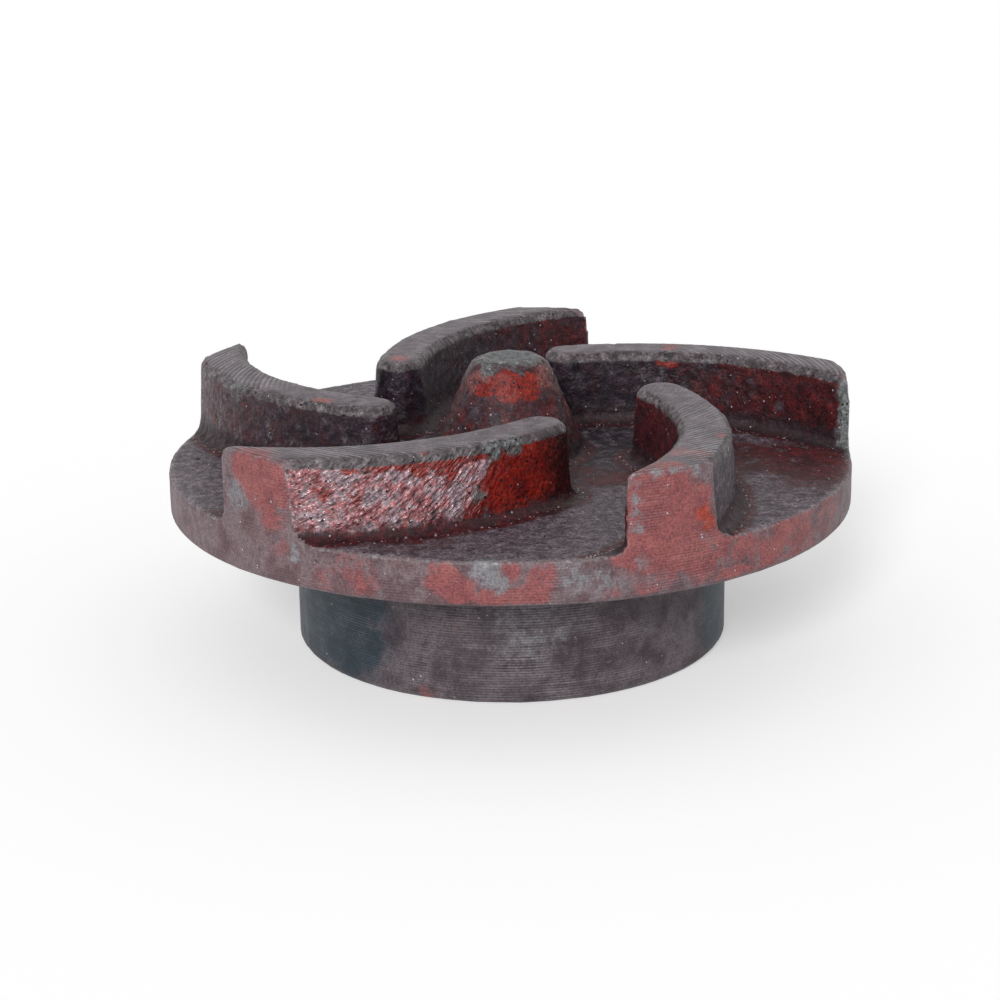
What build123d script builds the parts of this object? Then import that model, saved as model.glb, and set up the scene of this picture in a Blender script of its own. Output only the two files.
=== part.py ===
from build123d import *
import math
import os

# Semi-open pump impeller: one grey iron casting whose rim, hub and vane crowns are turned.
# The origin is the centre of the hub's rear face, and +Z runs along the shaft axis to the inlet.
# Sizes are in millimetres and angles in degrees. Vanes are counted anticlockwise from +X.

# disc and hub
rim_diameter = 120.0
disc_thickness = 7.5
hub_diameter = 76.5
hub_length = 25.0
rim_edge_break = 0.5
hub_edge_break = 0.8

# vanes: a circular camber arc that meets the nose circle and the rim at the two blade angles
vane_count = 5
vane_height = 13.0
vane_thickness = 8.5
vane_draft = 4.2
nose_circle_radius = 27.0
inlet_blade_angle = 38.4
outlet_blade_angle = 33.4
vane_root_radius = 2.2
vane_crown_chamfer = 1.0
tip_corner_radius = 1.6
first_tip_angle = 8.0

# What the hand-made pattern left different from vane to vane: the angle by which the tip is off
# its even place, the flat that blunts the tip's sharp corner, and the extra length at the nose.
pattern_errors = (
    (-2.5, 2.1, 2.0),
    (2.0, 0.6, 0.0),
    (1.2, 1.5, 0.0),
    (1.0, 2.1, 0.0),
    (-3.0, 2.1, 0.0),
)

# nose cone
cone_base_diameter = 27.7
cone_height = 17.6
cone_half_angle = 23.0
cone_crown_radius = 3.5
cone_root_chamfer = 1.5

# seal pocket and shaft thread in the hub, both opening at the rear face
pocket_diameter = 48.0
pocket_depth = 12.0
pocket_chamfer = 1.0
thread_core_diameter = 18.4
thread_depth = 24.0
thread_lead_in = 1.2
drill_point_angle = 118.0

# stock beyond the rim that the lathe takes off
turning_stock = 1.0

rim_radius = rim_diameter / 2
hub_radius = hub_diameter / 2
disc_top = hub_length + disc_thickness
vane_top = disc_top + vane_height
vane_top_half = vane_thickness / 2
vane_root_half = vane_top_half + vane_height * math.tan(math.radians(vane_draft))


# The camber arc's radius and the distance of its centre from the shaft axis.
inlet_cosine = math.cos(math.radians(inlet_blade_angle))
outlet_cosine = math.cos(math.radians(outlet_blade_angle))
outlet_sine = math.sin(math.radians(outlet_blade_angle))
camber_radius = (rim_radius**2 - nose_circle_radius**2) / (
    2 * (rim_radius * outlet_cosine - nose_circle_radius * inlet_cosine)
)
camber_offset = math.sqrt(
    rim_radius**2 + camber_radius**2 - 2 * rim_radius * camber_radius * outlet_cosine
)

# The vane runs on past the rim until both flanks are clear of it, and the raw disc carries it.
overrun = (vane_root_half * outlet_cosine + turning_stock) / outlet_sine
raw_radius = rim_radius + 2 * (vane_root_half + turning_stock) + vane_root_radius + overrun * outlet_sine


# Polar angle, about the shaft axis, at which an arc round the camber centre reaches a radius.
def polar_angle(radius, arc_radius):
    cosine = (radius**2 + camber_offset**2 - arc_radius**2) / (2 * radius * camber_offset)
    return math.degrees(math.acos(cosine))


# The camber arc's point at that radius, as an angle about the camber centre.
def sweep_angle(radius):
    polar = math.radians(polar_angle(radius, camber_radius))
    rise = radius * math.sin(polar)
    run = radius * math.cos(polar) - camber_offset
    return math.degrees(math.atan2(rise, run))


# Whether an edge is a circle round the shaft axis.
def on_axis(edge):
    if edge.geom_type != GeomType.CIRCLE:
        return False
    return math.hypot(edge.arc_center.X, edge.arc_center.Y) < 1e-3


# Disc, hub and nose cone as one turned profile about the shaft axis, with raw stock at the rim.
def body_of_revolution():
    cone_base = cone_base_diameter / 2
    cone_top = cone_base - cone_height * math.tan(math.radians(cone_half_angle))
    outline = Polyline(
        (0, 0),
        (hub_radius, 0),
        (hub_radius, hub_length),
        (raw_radius, hub_length),
        (raw_radius, disc_top),
        (cone_base, disc_top),
        (cone_top, disc_top + cone_height),
        (0, disc_top + cone_height),
        close=True,
    )
    profile = make_face(outline)

    def corner(x, y):
        return profile.vertices().sort_by_distance((x, y, 0))[0]

    profile = chamfer(corner(cone_base, disc_top), cone_root_chamfer)
    profile = fillet(corner(cone_top, disc_top + cone_height), cone_crown_radius)
    return revolve(Plane.XZ * profile, Axis.Z)


# One vane in a frame whose +X points from the shaft axis to the camber centre: a drafted wall
# swept round that centre and round at both ends, with its sharp tip corner cut back to a flat.
def raw_vane(tip_flat, nose_extra):
    tip_sweep = sweep_angle(rim_radius) - math.degrees(overrun / camber_radius)
    nose_sweep = sweep_angle(nose_circle_radius) + math.degrees(nose_extra / camber_radius)
    wall = make_face(
        Polyline(
            (camber_radius - vane_root_half, 0),
            (camber_radius + vane_root_half, 0),
            (camber_radius + vane_top_half, vane_height),
            (camber_radius - vane_top_half, vane_height),
            close=True,
        )
    )
    vane = Rot(0, 0, tip_sweep) * revolve(Plane.XZ * wall, Axis.Z, nose_sweep - tip_sweep)
    end = Cone(vane_root_half, vane_top_half, vane_height, align=(Align.CENTER, Align.CENTER, Align.MIN))
    for sweep in (tip_sweep, nose_sweep):
        vane += Rot(0, 0, sweep) * Pos(camber_radius, 0, 0) * end
    vane = Pos(camber_offset, 0, 0) * vane.clean()

    # the flat lies in a radial plane, through the concave flank just inside the rim
    flat_angle = polar_angle(rim_radius - tip_flat, camber_radius - vane_root_half)
    flat_plane = Rot(0, 0, flat_angle)
    waste = Box(2 * raw_radius, raw_radius, 2 * vane_height, align=(Align.CENTER, Align.MAX, Align.CENTER))
    vane -= flat_plane * waste

    def on_flat(edge):
        ends = [flat_plane.inverse() * Pos(end.X, end.Y, end.Z) for end in (edge @ 0, edge @ 1)]
        upright = abs((edge @ 0).Z - (edge @ 1).Z) > vane_height / 2
        return upright and all(abs(end.position.Y) < 1e-4 for end in ends)

    vane = fillet(vane.edges().filter_by(on_flat), tip_corner_radius)
    crown = vane.faces().sort_by(Axis.Z)[-1]
    vane = chamfer(crown.edges(), vane_crown_chamfer)
    return Pos(0, 0, disc_top) * vane


# The raw casting: body and vanes in one, with a fillet round the foot of each vane.
def raw_casting():
    casting = body_of_revolution()
    for index in range(vane_count):
        tip_shift, tip_flat, nose_extra = pattern_errors[index % len(pattern_errors)]
        tip_angle = first_tip_angle + 360 / vane_count * index + tip_shift
        turn = tip_angle - polar_angle(rim_radius, camber_radius)
        casting += Rot(0, 0, turn) * raw_vane(tip_flat, nose_extra)

    def at_vane_foot(edge):
        return abs(edge.center().Z - disc_top) < 1e-4 and not on_axis(edge)

    feet = casting.edges().filter_by_position(Axis.Z, disc_top, disc_top).filter_by(at_vane_foot)
    return fillet(feet, vane_root_radius)


# What is bored out from the rear: seal pocket, thread core, drill point and lead-in.
def rear_bore():
    pocket = pocket_diameter / 2
    core = thread_core_diameter / 2
    thread_end = pocket_depth + thread_depth
    point = core / math.tan(math.radians(drill_point_angle / 2))
    outline = Polyline(
        (0, 0),
        (pocket + pocket_chamfer, 0),
        (pocket, pocket_chamfer),
        (pocket, pocket_depth),
        (core + thread_lead_in, pocket_depth),
        (core, pocket_depth + thread_lead_in),
        (core, thread_end),
        (0, thread_end + point),
        close=True,
    )
    return revolve(Plane.XZ * make_face(outline), Axis.Z)


# The finished impeller: rim turned true, hub bored, and the turned corners broken.
def impeller():
    seam_angle = first_tip_angle + 180 / vane_count
    envelope = Cylinder(rim_radius, vane_top + cone_height, align=(Align.CENTER, Align.CENTER, Align.MIN))
    part = raw_casting() & (Rot(0, 0, seam_angle) * envelope)
    part -= rear_bore()

    def circle_at(radius, height):
        rings = part.edges().filter_by_position(Axis.Z, height, height).filter_by(on_axis)
        return rings.filter_by(lambda edge: abs(edge.radius - radius) < 1e-3)

    part = chamfer(circle_at(rim_radius, hub_length), rim_edge_break)
    part = chamfer(circle_at(hub_radius, 0), hub_edge_break)
    return part


os.makedirs("parts", exist_ok=True)
export_step(impeller(), "parts/impeller.step")
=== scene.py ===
import math

import bmesh
import bpy
import numpy as np
from mathutils import Matrix, Vector, noise


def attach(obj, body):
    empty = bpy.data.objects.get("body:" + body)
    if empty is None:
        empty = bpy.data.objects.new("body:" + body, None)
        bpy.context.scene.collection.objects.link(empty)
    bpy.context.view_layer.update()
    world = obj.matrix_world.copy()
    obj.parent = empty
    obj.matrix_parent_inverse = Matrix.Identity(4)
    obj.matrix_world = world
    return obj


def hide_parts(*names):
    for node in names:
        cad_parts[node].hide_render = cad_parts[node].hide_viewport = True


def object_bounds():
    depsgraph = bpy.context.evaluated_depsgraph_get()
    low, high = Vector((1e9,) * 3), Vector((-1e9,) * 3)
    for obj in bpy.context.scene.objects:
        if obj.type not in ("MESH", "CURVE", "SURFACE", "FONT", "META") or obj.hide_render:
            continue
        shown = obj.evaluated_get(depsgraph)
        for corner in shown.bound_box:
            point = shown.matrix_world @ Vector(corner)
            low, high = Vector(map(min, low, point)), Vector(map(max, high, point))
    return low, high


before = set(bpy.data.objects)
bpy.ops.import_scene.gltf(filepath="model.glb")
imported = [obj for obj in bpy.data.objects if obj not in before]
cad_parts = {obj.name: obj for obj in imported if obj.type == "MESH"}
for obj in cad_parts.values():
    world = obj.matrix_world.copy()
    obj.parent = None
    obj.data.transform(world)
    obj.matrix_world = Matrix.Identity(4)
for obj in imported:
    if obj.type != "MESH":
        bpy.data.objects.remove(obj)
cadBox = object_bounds()
mm = 0.001


def linearColour(hexCode):
    # sRGB hex to the linear colour that the shaders use
    parts = [int(hexCode[i : i + 2], 16) / 255 for i in (0, 2, 4)]
    return [p / 12.92 if p <= 0.04045 else ((p + 0.055) / 1.055) ** 2.4 for p in parts] + [1.0]


def addNode(tree, kind, inputs=None, **settings):
    # one node with its settings; an input is a value or the output socket that feeds it
    node = tree.nodes.new(kind)
    for name, value in settings.items():
        setattr(node, name, value)
    for key, value in (inputs or {}).items():
        if isinstance(value, bpy.types.NodeSocket):
            tree.links.new(value, node.inputs[key])
        else:
            node.inputs[key].default_value = value
    return node


def newMaterial(name):
    material = bpy.data.materials.new(name)
    material.use_nodes = True
    material.node_tree.nodes.clear()
    return material


# camera: place in mm, angles in degrees
cameraView = {
    "place": (-1.9, -389.1, 145.4),
    "tiltDown": 17.38,
    "roll": -0.79,
    "lens": 82.25,
    "sensor": 36,
}


def makeCamera():
    data = bpy.data.cameras.new("camera")
    data.lens = cameraView["lens"]
    data.sensor_width = cameraView["sensor"]
    data.clip_start = 10 * mm
    data.clip_end = 30
    camera = bpy.data.objects.new("camera", data)
    tilt = Matrix.Rotation(math.radians(90 - cameraView["tiltDown"]), 4, "X")
    roll = Matrix.Rotation(math.radians(cameraView["roll"]), 4, "Z")
    camera.matrix_world = Matrix.Translation(Vector(cameraView["place"]) * mm) @ tilt @ roll
    bpy.context.collection.objects.link(camera)
    bpy.context.scene.camera = camera


# studio: an even pale tent and one large soft lamp from the front left
studio = {
    "floorSize": 8.0,
    "floorColour": "E4E4E4",
    "floorRough": 0.9,
    "floorGlow": 0.38,
    "skyLight": 0.54,
    "keyStrength": 1.75,
    "keyAngle": 16,
    "keyHeight": 28,
    "keyTurn": -14,
}


def raySeen(tree):
    # 1 for a ray that shows the surroundings, seen or reflected, and 0 for one that only lights
    path = addNode(tree, "ShaderNodeLightPath")
    seen = path.outputs["Is Camera Ray"]
    for ray in ("Is Glossy Ray", "Is Transmission Ray"):
        either = {0: seen, 1: path.outputs[ray]}
        seen = addNode(tree, "ShaderNodeMath", either, operation="MAXIMUM").outputs[0]
    return seen


def makeStudio():
    white = (1, 1, 1, 1)
    bpy.context.scene.view_settings.view_transform = "Standard"
    world = bpy.data.worlds.new("studio")
    bpy.context.scene.world = world
    world.use_nodes = True
    tree = world.node_tree
    tree.nodes.clear()
    span = {"Value": raySeen(tree), "To Min": studio["skyLight"], "To Max": 1.0}
    strength = addNode(tree, "ShaderNodeMapRange", span).outputs[0]
    sky = addNode(tree, "ShaderNodeBackground", {"Color": white, "Strength": strength})
    addNode(tree, "ShaderNodeOutputWorld", {"Surface": sky.outputs[0]})

    lamp = bpy.data.lights.new("key", "SUN")
    lamp.energy = studio["keyStrength"]
    lamp.angle = math.radians(studio["keyAngle"])
    key = bpy.data.objects.new("key", lamp)
    tilt, turn = math.radians(90 - studio["keyHeight"]), math.radians(studio["keyTurn"])
    key.rotation_euler = (tilt, 0, turn)
    bpy.context.collection.objects.link(key)

    plane = bmesh.new()
    bmesh.ops.create_grid(plane, x_segments=1, y_segments=1, size=studio["floorSize"])
    data = bpy.data.meshes.new("floor")
    plane.to_mesh(data)
    plane.free()
    floor = bpy.data.objects.new("floor", data)
    bpy.context.collection.objects.link(floor)
    paper = newMaterial("matt studio paper")
    tree = paper.node_tree
    seen = {0: raySeen(tree), 1: studio["floorGlow"]}
    glow = addNode(tree, "ShaderNodeMath", seen, operation="MULTIPLY").outputs[0]
    shader = addNode(
        tree,
        "ShaderNodeBsdfPrincipled",
        {
            "Base Color": linearColour(studio["floorColour"]),
            "Roughness": studio["floorRough"],
            "Specular IOR Level": 0.0,
            "Emission Color": white,
            "Emission Strength": glow,
        },
    )
    addNode(tree, "ShaderNodeOutputMaterial", {"Surface": shader.outputs[0]})
    data.materials.append(paper)


# the casting's main sizes in mm and its five vanes, as the frame's solid has them
casting = {
    "rimRadius": 60.0,
    "discUnder": 25.0,
    "discTop": 32.5,
    "crown": 45.5,
    "coneRadius": 14.0,
    "hubRadius": 38.25,
    "pocketRadius": 24.0,
    "pocketDepth": 12.0,
    "boreRadius": 9.2,
    "boreEnd": 36.0,
    "camberRadius": 49.6,
    "camberOffset": 33.0,
    "footReach": 7.25,
    "vaneTurns": {"east": -50.3, "north": 26.2, "west": 97.4, "front": 169.2, "right": 237.2},
    "tipSweep": 89.0,
    "tipOverrun": 12,
    "noseSweep": 149.5,
}
vaneNames = list(casting["vaneTurns"])

# the even mesh that carries the foundry's texture, and how its corners have worn: sizes in mm
skin = {
    "weld": 0.001,
    "octreeDepth": 9,
    "octreeScale": 0.407,
    "cornerAngle": 24,
    "wearRounds": 3,
    "roundedCorners": [
        ((59.7, -0.5, 45.4), 4.4, 34),
        ((-57.7, 16.6, 45.4), 2.2, 6),
        ((-46.2, -38.3, 45.4), 2.2, 6),
    ],
    "keepShare": 0.5,
    "rippledArea": {"side": 3, "reach": 6.5, "sweep": 92, "overDisc": 1.5, "underCrown": 0.6},
    "wallWidth": 0.25,
    "ringStep": 1.3,
    "wearRise": (5, 0.25),
    "hollowRise": (3, 0.5),
}

# shaft thread, M20 x 1.5
thread = {"pitch": 1.5, "depth": 0.8, "leadIn": 1.3, "runOut": 1.5, "ringsPerPitch": 4}


def smoothStep(low, high, value):
    t = np.clip((value - low) / (high - low), 0, 1)
    return t * t * (3 - 2 * t)


def meshArrays(mesh):
    # vertex places in mm and vertex normals, as arrays
    places = np.empty(len(mesh.vertices) * 3)
    mesh.vertices.foreach_get("co", places)
    normals = np.empty(len(mesh.vertices) * 3, np.float32)
    mesh.vertex_normals.foreach_get("vector", normals)
    return places.reshape(-1, 3) / mm, normals.reshape(-1, 3).astype(float)


def noiseAt(points, octaves):
    # whole numbers added to the points pick another part of the same noise
    return np.array([noise.fractal(p, 0.9, 2.1, octaves) for p in points.tolist()])


def vaneCoordinates(points):
    # for each point: its nearest vane, how far off that vane's camber arc it is (+ is the convex
    # flank), its sweep along the arc, and its distance from the arc's nearer end or side
    side = np.full(len(points), 99.0)
    reach = np.full(len(points), 99.0)
    vane = np.full(len(points), -1)
    sweep = np.zeros(len(points))
    for index, turn in enumerate(casting["vaneTurns"].values()):
        turned = math.radians(turn)
        centre = casting["camberOffset"] * np.array([math.cos(turned), math.sin(turned)])
        off = points[:, :2] - centre
        distance = np.hypot(off[:, 0], off[:, 1]) - casting["camberRadius"]
        angle = np.mod(np.degrees(np.arctan2(off[:, 1], off[:, 0])) - turn, 360)
        past = np.maximum(angle - casting["noseSweep"], 0)
        past += np.maximum(casting["tipSweep"] - casting["tipOverrun"] - angle, 0)
        away = np.hypot(distance, np.radians(past) * casting["camberRadius"])
        near = away < reach
        vane[near], side[near] = index, distance[near]
        sweep[near], reach[near] = angle[near], away[near]
    return vane, side, sweep, reach


def makeCastingMesh():
    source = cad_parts["impeller"]
    mesh = source.data.copy()
    mesh.name = "impeller_casting"
    merged = bmesh.new()
    merged.from_mesh(mesh)
    bmesh.ops.remove_doubles(merged, verts=merged.verts, dist=skin["weld"] * mm)
    merged.to_mesh(mesh)
    merged.free()
    piece = bpy.data.objects.new("impeller_casting", mesh)
    bpy.context.collection.objects.link(piece)
    remesh = piece.modifiers.new("even skin", "REMESH")
    remesh.mode = "SHARP"
    remesh.octree_depth = skin["octreeDepth"]
    remesh.scale = skin["octreeScale"]
    remesh.sharpness = 1.0
    remesh.use_remove_disconnected = False
    applyModifiers(piece)
    wearCorners(piece.data)
    thinTurnedSides(piece)
    refineFlank(piece.data)
    cutTurnedWalls(piece.data)
    return piece


def applyModifiers(piece):
    bpy.context.view_layer.update()
    evaluated = piece.evaluated_get(bpy.context.evaluated_depsgraph_get())
    mesh = bpy.data.meshes.new_from_object(evaluated)
    piece.modifiers.clear()
    piece.data = mesh


def wearCorners(mesh):
    # sharp corners are found by the angle between faces, widened by a ring of points and smoothed,
    # apart from those inside the hub
    worn = bmesh.new()
    worn.from_mesh(mesh)
    worn.normal_update()
    limit = math.radians(skin["cornerAngle"])
    corner = {v for e in worn.edges if e.calc_face_angle(0) > limit for v in e.verts}
    corner |= {e.other_vert(v) for v in corner for e in v.link_edges}
    low, high = 2 * mm, (casting["discUnder"] - 1) * mm
    corner = [v for v in corner if v.co.z > high or v.co.z < low]
    rounds = [(corner, skin["wearRounds"])]
    for place, reach, count in skin["roundedCorners"]:
        centre = Vector(place) * mm
        rounds.append(([v for v in worn.verts if (v.co - centre).length < reach * mm], count))
    for verts, count in rounds:
        for _ in range(count):
            bmesh.ops.smooth_vert(
                worn, verts=verts, factor=0.5, use_axis_x=True, use_axis_y=True, use_axis_z=True
            )
    worn.to_mesh(mesh)
    worn.free()


def thinTurnedSides(piece):
    # the rear side and the rim came off the lathe smooth, and need far fewer faces than the rest
    places, normals = meshArrays(piece.data)
    radius = np.hypot(places[:, 0], places[:, 1])
    rear = places[:, 2] < casting["discUnder"] + 0.4
    band = (radius > casting["rimRadius"] - 0.05) & (np.abs(normals[:, 2]) < 0.05)
    group = piece.vertex_groups.new(name="turned")
    group.add(np.flatnonzero(rear | band).tolist(), 1.0, "REPLACE")
    thin = piece.modifiers.new("thin turned sides", "DECIMATE")
    thin.ratio = skin["keepShare"]
    thin.vertex_group = "turned"
    applyModifiers(piece)
    piece.vertex_groups.clear()


def refineFlank(mesh):
    # the front vane's rippled flank gets a mesh twice as fine
    places, _ = meshArrays(mesh)
    vane, side, sweep, reach = vaneCoordinates(places)
    area = skin["rippledArea"]
    low, high = casting["discTop"] + area["overDisc"], casting["crown"] - area["underCrown"]
    there = (vane == vaneNames.index("front")) & (side > area["side"])
    there &= (reach < area["reach"]) & (sweep > area["sweep"])
    there &= (places[:, 2] > low) & (places[:, 2] < high)
    fine = bmesh.new()
    fine.from_mesh(mesh)
    fine.verts.ensure_lookup_table()
    chosen = set(np.flatnonzero(there).tolist())
    edges = [e for e in fine.edges if e.verts[0].index in chosen and e.verts[1].index in chosen]
    bmesh.ops.subdivide_edges(fine, edges=edges, cuts=1, use_grid_fill=True)
    bmesh.ops.triangulate(fine, faces=[f for f in fine.faces if len(f.verts) > 4])
    fine.to_mesh(mesh)
    fine.free()


def wallFaces(shape, radius, low, high):
    # the faces of an upright wall round the axis, between two heights
    found = []
    for face in shape.faces:
        middle = face.calc_center_median() / mm
        off = abs(math.hypot(middle.x, middle.y) - radius)
        upright = abs(face.normal.z) < 0.3
        if upright and off < skin["wallWidth"] and low < middle.z < high:
            found.append(face)
    return found


def cutRings(shape, wall, low, high, step):
    # cuts a wall into rings, and gives back its faces
    for ring in range(int((high - low) / step) + 1):
        edges = {e for f in wall for e in f.edges}
        verts = {v for f in wall for v in f.verts}
        made = bmesh.ops.bisect_plane(
            shape,
            geom=[*wall, *edges, *verts],
            dist=0.01 * mm,
            plane_co=(0, 0, (low + ring * step) * mm),
            plane_no=(0, 0, 1),
        )
        wall = [g for g in made["geom"] if isinstance(g, bmesh.types.BMFace)]
    return wall


def cutTurnedWalls(mesh):
    # the hub and the rim get rings enough to hold their patches of paint
    turned = bmesh.new()
    turned.from_mesh(mesh)
    turned.normal_update()
    for radius, low, high in (
        (casting["hubRadius"], 1.0, casting["discUnder"]),
        (casting["rimRadius"], casting["discUnder"] + 0.8, casting["crown"]),
    ):
        wall = wallFaces(turned, radius, low - 1, high)
        cutRings(turned, wall, low, high - 0.5, skin["ringStep"])

    # the bore's wall is cut into finer rings and its points pushed out along the thread's helix
    start = casting["pocketDepth"] + thread["leadIn"]
    end = casting["boreEnd"] - thread["runOut"]
    wall = wallFaces(turned, casting["boreRadius"], start - 0.6, end + 1.2)
    wall = cutRings(turned, wall, start, end, thread["pitch"] / thread["ringsPerPitch"])
    for v in {v for f in wall for v in f.verts}:
        height = v.co.z / mm
        turn = math.atan2(v.co.y, v.co.x) / math.tau
        phase = (height / thread["pitch"] - turn) % 1
        fade = max(0, min(1, height - start, end - height))
        depth = thread["depth"] * (1 - abs(2 * phase - 1)) * fade
        v.co += Vector((v.co.x, v.co.y, 0)).normalized() * depth * mm
    bmesh.ops.triangulate(turned, faces=[f for f in turned.faces if len(f.verts) > 4])
    turned.to_mesh(mesh)
    turned.free()


def curvature(mesh, places, normals):
    # how far each point stands above its neighbours: + on a ridge, - in a hollow
    edges = np.empty(len(mesh.edges) * 2, np.int32)
    mesh.edges.foreach_get("vertices", edges)
    a, b = edges.reshape(-1, 2).T
    span = places[a] - places[b]
    length = np.linalg.norm(span, axis=1) + 1e-9
    rise = np.einsum("ij,ij->i", span, normals[a]) / length
    fall = np.einsum("ij,ij->i", -span, normals[b]) / length
    total = np.bincount(a, rise, len(places)) + np.bincount(b, fall, len(places))
    count = np.bincount(a, minlength=len(places)) + np.bincount(b, minlength=len(places))
    return total / np.maximum(count, 1), (a, b, count)


def spread(values, links, rounds):
    # evens a value out over neighbouring points
    a, b, count = links
    for _ in range(rounds):
        around = np.bincount(a, values[b], len(values)) + np.bincount(b, values[a], len(values))
        values = 0.5 * values + 0.5 * around / np.maximum(count, 1)
    return values


# where one zone fades into the next, in mm from the size that it is measured from
fades = {
    "crown": (-0.6, -0.2),
    "rim": (-0.8, -0.35),
    "corner": (-1.6, -1.1),
    "bareEdge": (-2.1, -1.0),
    "rear": (0.9, 0.4),
    "foot": (3.5, 0.3),
    "shade": (4.2, 1.8),
    "footWidth": (2.5, -0.5),
    "shadeWidth": (1.0, -1.5),
    "footLine": 0.55,
}


def fadeFrom(size, name, values):
    low, high = fades[name]
    return smoothStep(size + low, size + high, values)


def surfaceZones(places, normals):
    # what each point belongs to; the soft ones are weights from 0 to 1
    radius = np.hypot(places[:, 0], places[:, 1])
    height = places[:, 2]
    discTop, coneRadius = casting["discTop"], casting["coneRadius"]
    outward = places[:, 0] * normals[:, 0] + places[:, 1] * normals[:, 1]
    outward /= np.maximum(radius, 0.1)
    crown = smoothStep(0.8, 0.95, normals[:, 2]) * fadeFrom(casting["crown"], "crown", height)
    crown *= radius > coneRadius
    rim = fadeFrom(casting["rimRadius"], "rim", radius) * smoothStep(0.35, 0.6, outward)
    corner = fadeFrom(casting["rimRadius"], "corner", radius)
    corner *= fadeFrom(casting["crown"], "corner", height)
    rear = fadeFrom(casting["discUnder"], "rear", height)
    turned = np.maximum.reduce([crown, rim, rear, corner])
    vane, side, sweep, reach = vaneCoordinates(places)
    above = height > discTop - 0.3
    onVane = above & (reach < casting["footReach"] + 0.4) & (radius > 17)
    coneReach = np.where(above, radius - coneRadius, 99)
    nearFoot = np.where(above, np.minimum(reach - casting["footReach"], coneReach), 99)
    line = np.exp(-((nearFoot / fades["footLine"]) ** 2)) * (height < discTop + 0.8)
    away = smoothStep(0.15, 0.5, normals[:, 1]) * smoothStep(0.7, 0.4, np.abs(normals[:, 2]))
    return {
        "radius": radius,
        "height": height,
        "vane": vane,
        "side": side,
        "sweep": sweep,
        "away": away,
        "crown": crown,
        "rear": rear,
        "cast": 1 - turned,
        "onVane": onVane,
        "frontFlank": onVane & (vane == vaneNames.index("front")) & (side > 2),
        "foot": fadeFrom(discTop, "foot", height) * fadeFrom(0, "footWidth", nearFoot),
        "shade": fadeFrom(discTop, "shade", height) * fadeFrom(0, "shadeWidth", nearFoot),
        "footLine": line,
        "disc": above & ~onVane & (radius > coneRadius),
        "cone": above & (radius <= coneRadius),
    }


# spacings and heights in mm of what the sand, the ladle and the brush left in the skin; slopes,
# shares and sweeps are plain numbers
relief = {
    "lump": 1.5,
    "lumpHeight": 0.17,
    "grain": 0.9,
    "grainHeight": 0.08,
    "discShare": 0.4,
    "swell": 9.0,
    "swellHeight": 0.16,
    "pit": 2.2,
    "pitDepth": 0.28,
    "rippleLength": 1.7,
    "rippleWidth": 0.68,
    "rippleHeight": 0.32,
    "rippleSlopes": (0.3, 1.25),
    "rippleSpan": 42,
    "rippleLean": (0.85, 0.5),
    "flankShare": 0.35,
    "pitEdge": (0.3, 0.05),
    "pitPatch": 5,
    "crownPitEdge": (0.32, 0.08),
    "crownPitDepth": 0.22,
    "crownGrain": 1.1,
    "crownGrainHeight": 0.05,
    "crownSweeps": (116, 140),
    "nick": 2.4,
    "nickDepth": 0.32,
    "footHeight": 0.2,
    "coneTop": (48.5, 49.8),
    "coneTopDrop": 0.09,
}

# the front vane's plain red nose: sweeps in degrees, heights in mm
redNose = {
    "sweep": 129,
    "height": 36,
    "lean": 0.77,
    "edge": 0.8,
    "cover": 2.0,
    "glossEdge": (3, -1),
    "rippleEdge": (6, 0),
    # the sweeps over which the nose's end is darkened as painted shade
    "noseShadeSweeps": (141, 151),
    "noseShadeCover": 1.3,
    "stripDepth": (2.2, 1.2),
    "stripSweeps": (102, 110),
    "stripCover": 0.8,
    # the painted shade at the foot, laid on in maroon
    "footShadeCover": 1.5,
    "footShade": 0.3,
}


def pastRedEdge(zones):
    # degrees of sweep past the edge of the plain red nose, which leans with the height
    edge = redNose["sweep"] + (zones["height"] - redNose["height"]) * redNose["lean"]
    return zones["sweep"] - edge


def rippleCoordinates(zones, places):
    # the ripples climb towards the nose and grow steeper on the way; one unit is one ripple
    along = np.radians(zones["sweep"] - casting["tipSweep"]) * casting["camberRadius"]
    first, last = relief["rippleSlopes"]
    climb = first * along + (last - first) * along**2 / (2 * relief["rippleSpan"])
    lean, rise = relief["rippleLean"]
    across = (places[:, 2] - climb) * lean / relief["rippleWidth"]
    run = (along * lean + places[:, 2] * rise) / relief["rippleLength"]
    return np.stack([run, across, zones["side"] / 3], axis=1)


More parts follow.
